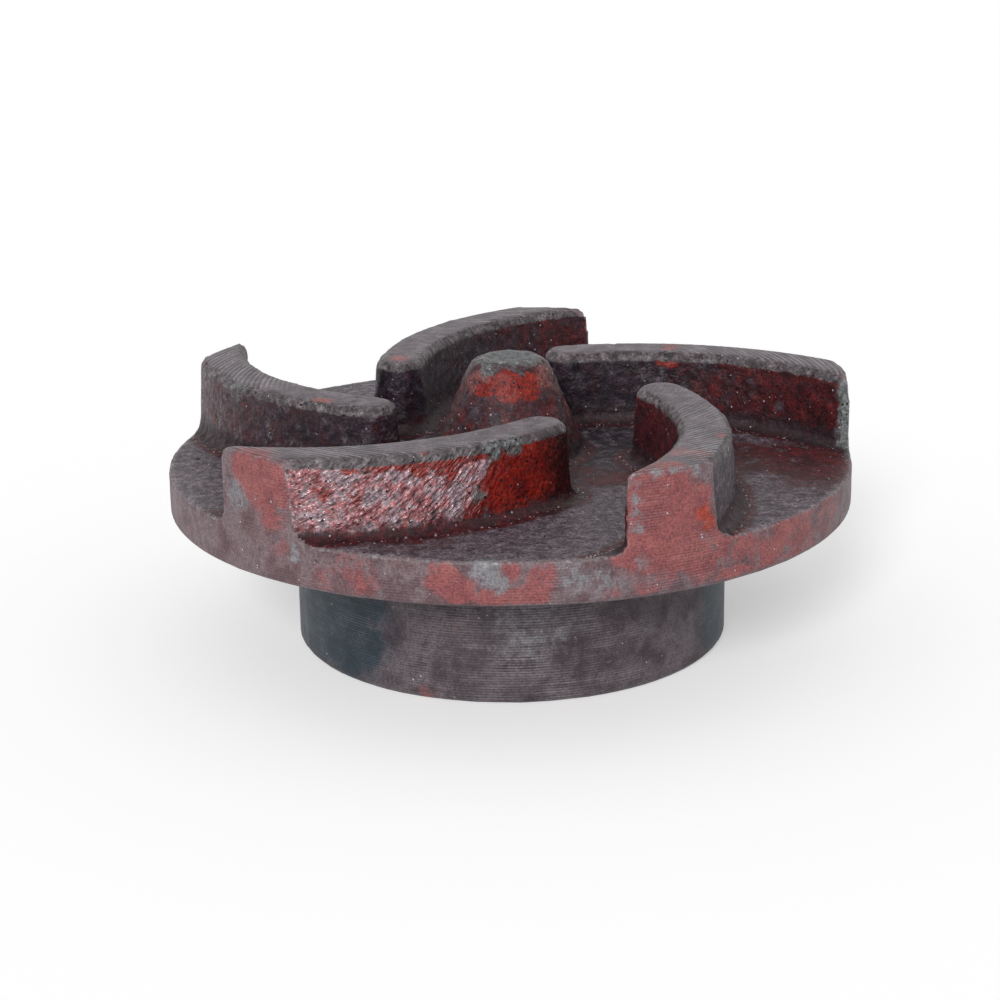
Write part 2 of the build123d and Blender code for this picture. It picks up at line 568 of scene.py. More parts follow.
def roughen(mesh, zones, places, normals, wear):
    # the relief is added along the normals and fades out where the lathe has been
    calm = np.where(zones["disc"], relief["discShare"], 1.0)
    front = zones["frontFlank"] & (zones["cast"] > 0.5)
    calm[front] = relief["flankShare"]
    lift = relief["lumpHeight"] * calm * noiseAt(places / relief["lump"], 3)
    lift += relief["grainHeight"] * calm * noiseAt(places / relief["grain"] + 40, 1)
    lift += relief["footHeight"] * zones["foot"] * noiseAt(places / relief["lump"] + 90, 2)

    ripple = rippleCoordinates(zones, places)
    layer = mesh.attributes.new("ripple", "FLOAT_VECTOR", "POINT")
    layer.data.foreach_set("vector", ripple.astype(np.float32).ravel())
    fade = smoothStep(*redNose["rippleEdge"], pastRedEdge(zones)) * 0.8 + 0.2
    lift[front] += relief["rippleHeight"] * fade[front] * noiseAt(ripple[front], 2)

    holes = np.array([noise.voronoi(p)[0][0] for p in (places / relief["pit"]).tolist()])
    rare = smoothStep(0.05, 0.35, noiseAt(places / relief["pitPatch"] + 20, 1))
    lift -= relief["pitDepth"] * smoothStep(*relief["pitEdge"], holes) * rare
    lift += relief["swellHeight"] * noiseAt(places / relief["swell"] + 60, 1)
    lift *= zones["cast"]
    nicks = np.maximum(noiseAt(places / relief["nick"] + 10, 2) - 0.05, 0)
    lift -= relief["nickDepth"] * nicks * wear * (1 - zones["rear"])

    # the crowns are pitted and grainy towards the nose, where the lathe barely touched them
    rawCrown = zones["crown"] * smoothStep(*relief["crownSweeps"], zones["sweep"])
    lift -= relief["crownPitDepth"] * smoothStep(*relief["crownPitEdge"], holes) * rawCrown
    crownGrain = noiseAt(places / relief["crownGrain"] + 5, 2)
    lift += relief["crownGrainHeight"] * rawCrown * crownGrain
    coneTop = zones["cone"] * smoothStep(*relief["coneTop"], zones["height"])
    lift -= relief["coneTopDrop"] * coneTop
    moved = places + normals * lift[:, None]

    # nothing stands out of the solid's own box
    radius = np.hypot(moved[:, 0], moved[:, 1])
    inside = np.minimum(1, (casting["rimRadius"] - 0.01) / np.maximum(radius, 1))
    moved[:, :2] *= inside[:, None]
    moved[:, 2] = np.clip(moved[:, 2], 0, cadBox[1][2] / mm)
    mesh.vertices.foreach_set("co", (moved * mm).ravel().astype(np.float32))
    mesh.update()


def storeWeight(mesh, name, values):
    layer = mesh.attributes.new(name, "FLOAT", "POINT")
    layer.data.foreach_set("value", np.maximum(values, 0).astype(np.float32))


# where a coat has stayed, in listed brushes: place in mm, reach in mm and strength
brushes = {
    "redCoat": [
        ((0, -7.9, 46.6), 3.0, 1.9), ((3.6, -7, 46.3), 2.6, 1.5), ((-3.8, -6.8, 46.4), 2.6, 1.4),
        ((29.5, 20, 44.4), 2.6, 1.3), ((-15, -43, 43.6), 4.0, 0.85), ((-11, -42, 42.6), 4.0, 0.85),
        ((-24, -46, 38), 4, 0.5), ((-30, -48, 41), 3.5, 0.6), ((-46, 5, 44.5), 5.0, 0.5),
        ((-14, -40, 40), 6, 0.55),
    ],
    "salmonCoat": [
        ((-11, -59, 29.6), 3.2, 1.2), ((-8, -59.5, 27.5), 3.0, 1.1), ((-4, -59.9, 26), 2.6, 1.1),
        ((0, -60, 26), 2.6, 1.1), ((3.5, -59.9, 27.6), 2.6, 1.1), ((4.8, -59.8, 30.2), 2.4, 1.0),
        ((-0.6, -60, 30.8), 1.9, 1.2), ((21.1, -56.1, 26.2), 3.2, 0.6), ((15, -58, 26), 2.6, 0.4),
        ((44.8, -39.9, 29), 10.0, 0.75), ((34, -49.5, 30), 10.0, 0.75),
        ((-25, -54.4, 28.6), 6.0, 0.5), ((-41.5, -43.3, 42.2), 5.0, 1.6),
        ((-38.6, -46, 40.8), 5.0, 1.6), ((-37.8, -46.7, 36.5), 4.0, 0.75),
        ((-37.5, -46.9, 32), 5.0, 0.4), ((22.6, -55.6, 40.2), 7.0, 2.0),
        ((19.5, -56.7, 35), 6.5, 1.5), ((26.5, -53.9, 38.5), 5.5, 1.7),
        ((24.5, -54.8, 33), 7.0, 1.0), ((-30, -52, 26), 6.0, 0.4), ((52, -30, 30), 8.0, 0.5),
        ((-14, -35.5, 0.6), 3.4, 1.1), ((-10, -36.9, 1.2), 2, 0.9), ((-2, -38.2, 1), 2.4, 0.8),
        ((4, -38, 0.8), 2, 0.7), ((-19.8, 18, 45.5), 2.6, 0.8), ((-32.3, -12.2, 45.4), 2.8, 0.7),
        ((30.4, 25.6, 45.5), 1.8, 1.1), ((30, 22.6, 45.4), 1.8, 1.1),
        ((34.2, -36.6, 45.5), 1.6, 1.1), ((27.9, -46.1, 45.5), 5.0, 0.5),
        ((-6.2, -4.6, 47), 2.8, 0.8), ((6.4, -4.4, 47), 3.0, 0.8),
    ],
    "tealCoat": [
        ((-31, -22, 12), 14.0, 1.9), ((-37, -10, 12), 14.0, 1.9), ((36.6, -12, 9), 10.0, 1.7),
        ((38, -3, 13), 12.0, 1.8), ((-35, 12, 12), 12.0, 0.8), ((20, 32, 12), 10.0, 0.8),
    ],
    "greyCoat": [
        ((-34.3, -49.2, 31.4), 1.3, 0.8), ((-34.4, -49.1, 29.8), 1.1, 0.8),
        ((-4.3, -59.8, 31.2), 3.0, 1.2), ((-2.6, -60, 29.2), 2.4, 0.9),
        ((9.5, -59.2, 29.5), 2.2, 0.7), ((20, -56.6, 30.8), 2.0, 0.5),
        ((-44, -40.8, 38), 3.2, 0.75), ((19.2, -56.8, 44), 1.7, 0.75),
        ((19.1, -56.8, 41.5), 1.5, 0.7), ((19, -56.9, 39), 1.5, 0.75),
        ((18.9, -56.9, 36.5), 1.5, 0.7), ((22, -55.8, 45), 1.7, 0.7), ((25, -54.5, 45), 1.5, 0.65),
        ((28, -53, 44.8), 1.5, 0.65), ((0, 0, 50.4), 6.2, 1.6), ((-4, -6, 49), 2.6, 0.6),
        ((60, -1, 43), 3.0, 1.3), ((60, -1, 39), 3.0, 1.3), ((60, -1, 35), 3.0, 1.2),
        ((-3.0, -38.6, 44.2), 2.4, 0.85), ((0.5, -36.8, 44.6), 2.6, 0.8),
        ((-5.5, -41.2, 37.4), 2.4, 0.6), ((-48, 2, 45), 4, 0.6), ((31, -44, 45.4), 3, 0.6),
        ((9, -59.3, 29.5), 4.0, 0.5), ((14, -58.3, 28.5), 4.5, 0.5), ((3, -38.2, 14), 11.0, 0.45),
    ],
    "maroonCoat": [
        ((17, -18, 32.5), 7, 0.9), ((24, -12, 32.5), 7, 0.9), ((12, -14, 32.5), 6, 0.8),
        ((-16, -46, 32.5), 9, 0.7), ((54, -9, 32.5), 14, 1.3), ((46, -6, 32.5), 12, 1.1),
        ((38, 0, 32.5), 9, 0.9), ((52, -19, 32.5), 9, 0.6),
    ],
    "vermilion": [
        ((29.6, -52.2, 37.4), 1.5, 1.2), ((30.4, -51.7, 35.6), 1.5, 1.2),
    ],
}


def brushWeight(name, places):
    weight = np.zeros(len(places))
    for centre, reach, strength in brushes[name]:
        distance = np.linalg.norm(places - np.array(centre), axis=1)
        weight = np.maximum(weight, strength * smoothStep(reach * 1.4, reach * 0.2, distance))
    return weight


# how much dark coat, maroon and gloss paint each vane has at its tip, at mid length and at its nose
# on the flank that faces the front (seen is that flank's side), and how dark its far flank is
flankCoats = {
    "east": {"seen": -1, "darkCoatAndShade": (0.15, 0.7, 1.0), "maroonCoat": (1.4, 0.75, 0.2), "far": 0.5},
    # the north vane's dark nose and the right vane's dark flank are partly painted shade, where the
    # vanes crowd round the cone
    "north": {"seen": -1, "darkCoatAndShade": (0.8, 0.9, 1.5), "maroonCoat": (0.6, 0.35, 0.2), "far": 0.9},
    "west": {"seen": 1, "darkCoatAndShade": (0.15, 0.5, 0.9), "maroonCoat": (0.3, 0.5, 0.3), "far": 0.4},
    "front": {"seen": 1, "glossPaintAndSheen": (1.6, 1.6, 1.2), "maroonCoat": (0, 0, 0.2), "far": 0.2},
    "right": {"seen": -1, "darkCoatAndShade": (0.8, 0.9, 1.0), "maroonCoat": (1.1, 1.0, 0.9), "far": 0.15},
}

# how much of each coat the other parts of the casting have
zoneCoats = {
    "footShade": 1.2,
    "darkCoatAndShade": 0.35,
    "discCentreShade": 0.75,
    "discShadeRadii": (36, 22),
    "coneHeights": (36, 40, 47),
    "coneCoatAndShade": (1.3, 0.7, 0.4),
    "maroonCone": 0.6,
    "maroonFoot": 1.3,
    "awayPatch": 13,
    "redAway": 0.55,
    "maroonAway": 1.2,
    "salmonAway": 0.7,
    "bareEdge": 1.25,
    "greyDisc": 1.1,
    "greyWest": 0.6,
    "crown": 1.6,
    "hub": 1.6,
    "hubMarks": 0.45,
    "crownMarks": (142, 118),
}


def paintVanes(weights, zones):
    stops = [casting["tipSweep"] + 8, 116, 136]
    for name, coats in flankCoats.items():
        here = zones["onVane"] & (zones["vane"] == vaneNames.index(name))
        atNose = zones["sweep"] > casting["noseSweep"] - 1
        seen = here & ((zones["side"] * coats["seen"] > 0) | atNose)
        weights["darkCoatAndShade"][here] = coats["far"]
        for coat in ("darkCoatAndShade", "maroonCoat", "glossPaintAndSheen"):
            amount = np.interp(zones["sweep"], stops, coats.get(coat, (0, 0, 0)))
            weights[coat][seen] = amount[seen]
        if name == "front":
            paintRedNose(weights, zones, seen)


def paintRedNose(weights, zones, seen):
    # plain red on the nose and in a strip under the crown, the nose's end darkened as painted
    # shade, and a maroon foot that is painted shade
    past = pastRedEdge(zones)
    solid = redNose["cover"] * smoothStep(-redNose["edge"], redNose["edge"], past)
    depth = casting["crown"] - 1 - zones["height"]
    strip = redNose["stripCover"] * smoothStep(*redNose["stripDepth"], depth)
    strip *= smoothStep(*redNose["stripSweeps"], zones["sweep"])
    noseShade = redNose["noseShadeCover"] * smoothStep(*redNose["noseShadeSweeps"], zones["sweep"])
    maroon = np.maximum(weights["maroonCoat"], redNose["footShadeCover"] * zones["shade"])
    weights["redCoat"][seen] = np.maximum(solid, strip)[seen]
    weights["glossPaintAndSheen"][seen] *= smoothStep(*redNose["glossEdge"], past)[seen]
    weights["redNoseShade"][seen] = noseShade[seen]
    weights["maroonCoat"][seen] = maroon[seen]
    weights["footShade"][seen] *= redNose["footShade"]


def coatWeights(zones, places):
    # how much of each coat every point of the casting has
    names = ("darkCoatAndShade", "maroonCoat", "glossPaintAndSheen", "redCoat", "redNoseShade")
    weights = {name: np.zeros(len(places)) for name in names}
    weights["footShade"] = zoneCoats["footShade"] * zones["shade"]
    weights["darkCoatAndShade"] += zoneCoats["darkCoatAndShade"]
    paintVanes(weights, zones)
    cone, height = zones["cone"], zones["height"]
    # the cone's dark coat deepens towards its foot: partly painted shade in the nook among the
    # vanes' noses
    coneCoatAndShade = np.interp(height, zoneCoats["coneHeights"], zoneCoats["coneCoatAndShade"])
    weights["darkCoatAndShade"][cone] = coneCoatAndShade[cone]
    weights["maroonCoat"][cone] = zoneCoats["maroonCone"]

    # on sides that look away from the front the paint has stayed in chance patches
    patches = noiseAt(places / zoneCoats["awayPatch"] + 33, 2)
    away = smoothStep(0.0, 0.3, patches) * zones["away"]
    redAway = zoneCoats["redAway"] * away * zones["onVane"]
    weights["redCoat"] = np.maximum(weights["redCoat"], redAway)
    weights["maroonCoat"] = np.maximum(weights["maroonCoat"], zoneCoats["maroonAway"] * away)
    for name in ("redCoat", "glossPaintAndSheen"):
        weights[name] *= 1 - zones["foot"]
    for name in ("redCoat", "maroonCoat"):
        weights[name] = np.maximum(weights[name], brushWeight(name, places))
    maroonFoot = zones["foot"] * zoneCoats["maroonFoot"]
    weights["maroonCoat"] = np.maximum(weights["maroonCoat"], maroonFoot)
    # painted shade: the disc darkened towards its middle, where the vanes' noses crowd round the
    # cone
    discCentreShade = zoneCoats["discCentreShade"] * zones["disc"]
    discCentreShade *= smoothStep(*zoneCoats["discShadeRadii"], zones["radius"])
    weights["darkCoatAndShade"] = np.maximum(weights["darkCoatAndShade"], discCentreShade)
    for name in ("tealCoat", "greyCoat", "vermilion"):
        weights[name] = brushWeight(name, places)
    salmon = np.maximum(brushWeight("salmonCoat", places), zoneCoats["salmonAway"] * away)
    salmon *= np.maximum(1 - zones["cast"], cone)
    weights["salmonCoat"] = salmon * (1 - 0.6 * zones["rear"])

    # bare iron, and the lathe's marks that show on the crowns and on the front of the hub
    bare = zoneCoats["bareEdge"] * zones["onVane"]
    weights["bareEdge"] = bare * fadeFrom(casting["crown"], "bareEdge", height)
    west = zones["onVane"] & (zones["vane"] == vaneNames.index("west"))
    weights["discGrey"] = zoneCoats["greyDisc"] * zones["disc"] + zoneCoats["greyWest"] * west
    # pale specks along the line where the fillets meet the disc: painted glints, partly dust
    weights["dustAndGlints"] = zones["footLine"]
    weights["crown"] = zoneCoats["crown"] * zones["crown"]
    middle = smoothStep(26, 6, np.abs(places[:, 0] - 3)) * (places[:, 1] < 0)
    middle *= zones["rear"] * (zones["radius"] > casting["hubRadius"] - 1.25)
    crownMarks = zones["crown"] * smoothStep(*zoneCoats["crownMarks"], zones["sweep"])
    weights["marks"] = np.maximum(crownMarks, zoneCoats["hubMarks"] * middle)
    onHub = (zones["radius"] < casting["hubRadius"] + 0.95) & (height < casting["discUnder"] - 0.2)
    weights["hub"] = zoneCoats["hub"] * (zones["rear"] * onHub)
    return weights


# the order in which the materials go on the piece
finishes = {"cast": 0, "turned": 1, "bored": 2, "gloss": 3}
glossArea = {"overDisc": 1.5, "sweep": 131}


def chooseFinishes(mesh, zones, normals):
    # a face is turned where most of it is, and bored or glossy where all of it is
    radius, height = zones["radius"], zones["height"]
    corners = np.array([p.vertices[:3] for p in mesh.polygons])
    cast = zones["cast"][corners].mean(axis=1) > 0.5
    finish = np.where(cast, finishes["cast"], finishes["turned"])
    pocket = (radius < casting["pocketRadius"] + 1.2) & (normals[:, 2] < 0.5)
    pocket &= (height > 0.02) & (height <= casting["discTop"] - 0.5)
    bore = (radius < casting["boreRadius"] + 1.2) & (normals[:, 2] < 0.2)
    bore &= height < casting["boreEnd"] + 7
    for walls in (pocket, bore):
        finish[walls[corners].all(axis=1)] = finishes["bored"]
    gloss = zones["frontFlank"] & (height > casting["discTop"] + glossArea["overDisc"])
    gloss &= zones["sweep"] < glossArea["sweep"]
    finish[gloss[corners].all(axis=1) & (finish == finishes["cast"])] = finishes["gloss"]
    mesh.polygons.foreach_set("material_index", finish.astype(np.int32))


def dressCasting(piece):
    mesh = piece.data
    places, normals = meshArrays(mesh)
    bend, links = curvature(mesh, places, normals)
    gain, start = skin["wearRise"]
    wear = np.clip(spread(bend, links, 2) * gain - start, 0, 1)
    zones = surfaceZones(places, normals)
    roughen(mesh, zones, places, normals, wear)
    print("relief raised on", int((zones["cast"] > 0.5).sum()), "points")

    places, normals = meshArrays(mesh)
    bend, links = curvature(mesh, places, normals)
    gain, start = skin["hollowRise"]
    weights = coatWeights(zones, places)
    weights["wear"] = wear
    # where the mesh curves in it is darkened: partly dirt, partly painted shade in creases and
    # fillets
    weights["hollowDirtAndShade"] = np.clip(start - spread(bend, links, 1) * gain, 0, 1)
    for name, values in weights.items():
        storeWeight(mesh, name, values)
    chooseFinishes(mesh, zones, normals)
    mesh.polygons.foreach_set("use_smooth", [True] * len(mesh.polygons))
    print("triangles:", sum(len(p.vertices) - 2 for p in mesh.polygons))


def perMm(size):
    # the texture scale at which one cell of a pattern is this many mm: coordinates are in metres
    return 1 / (size * mm)


def mottled(tree, where, drift, colours):
    # a paint or an oxide that drifts between its colours over a distance in mm
    cloud = {"Vector": where, "Scale": perMm(drift), "Detail": 5.0, "Roughness": 0.6}
    field = addNode(tree, "ShaderNodeTexNoise", cloud)
    ramp = addNode(tree, "ShaderNodeValToRGB", {"Fac": field.outputs["Fac"]})
    stops = ramp.color_ramp.elements
    while len(stops) < len(colours):
        stops.new(0.5)
    low, span = 0.36, 0.28
    for index in range(len(colours)):
        stops[index].position = low + span * index / max(len(colours) - 1, 1)
    for index, colour in enumerate(colours):
        stops[index].color = linearColour(colour)
    return ramp.outputs["Color"]


# how a coat's edge frays: its noise is stretched and then scaled by the coat's weight
fraying = {"gain": 4.5, "shift": -1.25, "edge": {"Detail": 7.0, "Roughness": 0.68}}


def layCoats(tree, where, coats):
    # lays each coat over those before it, each with its own roughness
    for name, coat in coats.items():
        paint = mottled(tree, where, coat["drift"], coat["colours"])
        if name == "base":
            colour, rough = paint, coat["rough"]
            continue
        edge = {"Vector": where, "Scale": perMm(coat["fray"])} | fraying["edge"]
        fray = addNode(tree, "ShaderNodeTexNoise", edge).outputs["Fac"]
        stretch = {0: fray, 1: fraying["gain"], 2: fraying["shift"]}
        lift = addNode(tree, "ShaderNodeMath", stretch, operation="MULTIPLY_ADD").outputs[0]
        weight = addNode(tree, "ShaderNodeAttribute", attribute_name=name).outputs["Fac"]
        amount = addNode(tree, "ShaderNodeMath", {0: weight, 1: lift}, operation="MULTIPLY")
        span = {
            "Value": amount.outputs[0],
            "From Min": 0.5 - coat["soft"],
            "From Max": 0.5 + coat["soft"],
            "To Max": coat.get("cover", 1.0),
        }
        mask = addNode(tree, "ShaderNodeMapRange", span, interpolation_type="SMOOTHSTEP").outputs[0]
        laid = {0: mask, 6: colour, 7: paint}
        colour = addNode(tree, "ShaderNodeMix", laid, data_type="RGBA").outputs[2]
        rough = addNode(tree, "ShaderNodeMix", {0: mask, 2: rough, 3: coat["rough"]}).outputs[0]
    return colour, rough


def scatterSpecks(tree, where, colour, speck):
    # small round specks, in some cells of a pattern only
    pattern = {"Vector": where, "Scale": perMm(speck["spacing"])}
    cells = addNode(tree, "ShaderNodeTexVoronoi", pattern)
    chance = addNode(tree, "ShaderNodeSeparateColor", {0: cells.outputs["Color"]}).outputs[0]
    some = {"From Min": 1 - speck["share"], "To Max": speck["size"] / speck["spacing"]}
    size = addNode(tree, "ShaderNodeMapRange", {"Value": chance} | some).outputs[0]
    within = {0: cells.outputs["Distance"], 1: size}
    spot = addNode(tree, "ShaderNodeMath", within, operation="LESS_THAN").outputs[0]
    if "weight" in speck:
        weight = addNode(tree, "ShaderNodeAttribute", attribute_name=speck["weight"])
        both = {0: spot, 1: weight.outputs["Fac"]}
        spot = addNode(tree, "ShaderNodeMath", both, operation="MULTIPLY").outputs[0]
    laid = {0: spot, 6: colour, 7: linearColour(speck["colour"])}
    return addNode(tree, "ShaderNodeMix", laid, data_type="RGBA").outputs[2]


# the lathe tool's path: faces that look along the axis more than this are faced, the others turned;
# the marks wander over 1/slow metres and tear with this much noise
toolPath = {"faced": 0.7, "slow": 90.0, "tear": 0.9, "wave": 0.18}


def turningMarks(tree, coordinates, pitches):
    # rises and falls across each groove: rings of radius where faced, of height where turned
    where = coordinates.outputs["Object"]
    axes = addNode(tree, "ShaderNodeSeparateXYZ", {0: where})
    facing = addNode(tree, "ShaderNodeSeparateXYZ", {0: coordinates.outputs["Normal"]}).outputs["Z"]
    facing = addNode(tree, "ShaderNodeMath", {0: facing}, operation="ABSOLUTE").outputs[0]
    limit = {0: facing, 1: toolPath["faced"]}
    facing = addNode(tree, "ShaderNodeMath", limit, operation="GREATER_THAN").outputs[0]
    flat = {"X": axes.outputs["X"], "Y": axes.outputs["Y"]}
    flat = addNode(tree, "ShaderNodeCombineXYZ", flat).outputs[0]
    radius = addNode(tree, "ShaderNodeVectorMath", {0: flat}, operation="LENGTH").outputs["Value"]
    turns = {0: axes.outputs["Z"], 1: perMm(pitches[0])}
    height = addNode(tree, "ShaderNodeMath", turns, operation="MULTIPLY").outputs[0]
    turns = {0: radius, 1: perMm(pitches[1])}
    radius = addNode(tree, "ShaderNodeMath", turns, operation="MULTIPLY").outputs[0]
    feed = addNode(tree, "ShaderNodeMix", {0: facing, 2: height, 3: radius}).outputs[0]
    slow = {0: flat, "Scale": toolPath["slow"]}
    slow = addNode(tree, "ShaderNodeVectorMath", slow, operation="SCALE").outputs[0]
    slow = addNode(tree, "ShaderNodeSeparateXYZ", {0: slow})
    place = {"X": feed, "Y": slow.outputs["X"], "Z": slow.outputs["Y"]}
    place = addNode(tree, "ShaderNodeCombineXYZ", place).outputs[0]
    tear = {"Vector": place, "Scale": toolPath["tear"], "Detail": 3.0, "Roughness": 0.7}
    torn = addNode(tree, "ShaderNodeTexNoise", tear).outputs["Fac"]
    wave = addNode(tree, "ShaderNodeMath", {0: feed, 1: math.tau}, operation="MULTIPLY").outputs[0]
    wave = addNode(tree, "ShaderNodeMath", {0: wave}, operation="SINE").outputs[0]
    both = {0: wave, 1: toolPath["wave"], 2: torn}
    return addNode(tree, "ShaderNodeMath", both, operation="MULTIPLY_ADD").outputs[0]


def gritty(tree, where, colour, size, depth):
    # breaks a colour up with grains of so many mm that are darker or paler by the depth
    grains = {"Vector": where, "Scale": perMm(size), "Detail": 3.0, "Roughness": 0.7}
    grit = addNode(tree, "ShaderNodeTexNoise", grains).outputs["Fac"]
    tones = {"From Min": 0.35, "From Max": 0.65, "To Min": 1 - depth, "To Max": 1 + depth}
    shade = addNode(tree, "ShaderNodeMapRange", {"Value": grit} | tones).outputs[0]
    mix = {0: 1.0, 6: colour, 7: shade}
    return addNode(tree, "ShaderNodeMix", mix, data_type="RGBA", blend_type="MULTIPLY").outputs[2]


# Brushed paint on sand-cast iron: sRGB colours, with distances and depths in mm. Each coat over the
# base is named for the attribute that places it; fray is its edge's grain, and soft how it ends.
castPaint = {
    "coats": {
        "base": {"colours": ("443C44", "584E57", "6C626A"), "drift": 2.2, "rough": 0.55},
        "discGrey": {"colours": ("584D56", "74686F", "8B7F86"),
                     "drift": 1.8, "fray": 1.4, "soft": 0.5, "rough": 0.5},
        # a dark coat that is partly painted shade in the nooks between the vanes and the cone
        "darkCoatAndShade": {"colours": ("120F15", "211923", "352C38"),
                     "drift": 1.8, "fray": 2.6, "soft": 0.4, "rough": 0.36},
        "maroonCoat": {"colours": ("321115", "4C1A1D", "642426"),
                       "drift": 2.6, "fray": 3.0, "soft": 0.4, "rough": 0.42},
        # its pale lilac-grey tones are partly painted sheen, the look of glints on red paint
        "glossPaintAndSheen": {"colours": ("90565C", "B26A6D", "AC9199", "987E86"),
                      "drift": 2.2, "fray": 2.2, "soft": 0.3, "rough": 0.18},
        "redCoat": {"colours": ("681711", "881F15", "9A2D21"),
                    "drift": 4.0, "fray": 3.0, "soft": 0.14, "rough": 0.33},
        # painted shade: the red nose darkened towards its end, where it turns away from the lamp
        "redNoseShade": {"colours": ("2A0A09", "3C0F0C"),
                    "drift": 3.0, "fray": 5.0, "soft": 0.45, "rough": 0.35},
        "salmonCoat": {"colours": ("7C4644", "8E5553"),
                       "drift": 3.0, "fray": 2.6, "soft": 0.35, "rough": 0.5},
        "bareEdge": {"colours": ("3F393C", "5B5356", "777073"),
                     "drift": 1.6, "fray": 2.2, "soft": 0.2, "rough": 0.5},
        "footShade": {"colours": ("1C1218", "2E2026", "3A2A2E"),
                      "drift": 2.0, "fray": 2.0, "soft": 0.4, "cover": 0.85, "rough": 0.45},
        "wear": {"colours": ("59565B", "7A777C", "969398"),
                 "drift": 1.0, "fray": 1.0, "soft": 0.35, "cover": 0.8, "rough": 0.45},
        "greyCoat": {"colours": ("4E5052", "6D6F70", "8C8E8F"),
                     "drift": 1.0, "fray": 1.6, "soft": 0.3, "rough": 0.5},
        # partly dirt, partly painted shade in the hollows
        "hollowDirtAndShade": {"colours": ("140D12", "1E1318"),
                   "drift": 1.0, "fray": 1.0, "soft": 0.4, "cover": 0.6, "rough": 0.6},
    },
    # pale specks: partly dust, partly painted glints
    "pale": {"spacing": 1.1, "share": 0.4, "size": 0.18, "colour": "A59FA5"},
    "pits": {"spacing": 0.85, "share": 0.55, "size": 0.27, "colour": "120C10"},
    # painted glints along the foot of the fillets, partly dust
    "dustAndGlints": {"spacing": 0.6, "share": 0.9, "size": 0.22, "colour": "B4AEB5", "weight": "dustAndGlints"},
    "grit": 0.45,
    "gritDepth": 0.6,
    "lump": 1.0,
    "lumpHeight": 0.13,
    "grain": 0.45,
    "dashScale": 1.5,
}

# Grey iron from a sand mould, brushed with red oxide and a dark coat that is partly painted shade:
# a lumpy, dusty skin that breaks the light into small dull glints, with dirt and painted shade in
# its pits and hollows, and bare iron on its corners.
dustyPaint = {"specular": 0.25, "grainHeight": 0.12, "dashHeight": 0}

# The same iron under paint laid on so thickly that it ran: its dashes shine white along their
# upper sides.
thickPaint = {"specular": 0.6, "grainHeight": 0.02, "dashHeight": 0.5}


def castMaterial(name, finish):
    material = newMaterial(name)
    tree = material.node_tree
    where = addNode(tree, "ShaderNodeTexCoord").outputs["Object"]
    colour, rough = layCoats(tree, where, castPaint["coats"])
    colour = gritty(tree, where, colour, castPaint["grit"], castPaint["gritDepth"])
    for speck in ("pits", "pale", "dustAndGlints"):
        colour = scatterSpecks(tree, where, colour, castPaint[speck])
    lump = {"Vector": where, "Scale": perMm(castPaint["lump"]), "Detail": 2.0}
    lumps = addNode(tree, "ShaderNodeTexNoise", lump).outputs["Fac"]
    # real moulding sand is half this size and would not show
    sand = {"Vector": where, "Scale": perMm(castPaint["grain"]), "Detail": 3.0, "Roughness": 0.6}
    grain = addNode(tree, "ShaderNodeTexNoise", sand).outputs["Fac"]
    rise = {"Height": lumps, "Distance": castPaint["lumpHeight"] * mm}
    bump = addNode(tree, "ShaderNodeBump", rise).outputs[0]
    rise = {"Height": grain, "Distance": finish["grainHeight"] * mm, "Normal": bump}
    bump = addNode(tree, "ShaderNodeBump", rise).outputs[0]
    if finish["dashHeight"]:
        # the brush's short dashes, finer than the ripples in the mesh and lying the same way
        ripple = addNode(tree, "ShaderNodeAttribute", attribute_name="ripple").outputs["Vector"]
        dashes = {"Vector": ripple, "Scale": castPaint["dashScale"], "Detail": 1.0}
        dash = addNode(tree, "ShaderNodeTexNoise", dashes).outputs["Fac"]
        rise = {"Height": dash, "Distance": finish["dashHeight"] * mm, "Normal": bump}
        bump = addNode(tree, "ShaderNodeBump", rise).outputs[0]
    surface = {"Base Color": colour, "Roughness": rough, "Normal": bump}
    surface["Specular IOR Level"] = finish["specular"]
    shader = addNode(tree, "ShaderNodeBsdfPrincipled", surface)
    addNode(tree, "ShaderNodeOutputMaterial", {"Surface": shader.outputs[0]})
    return material


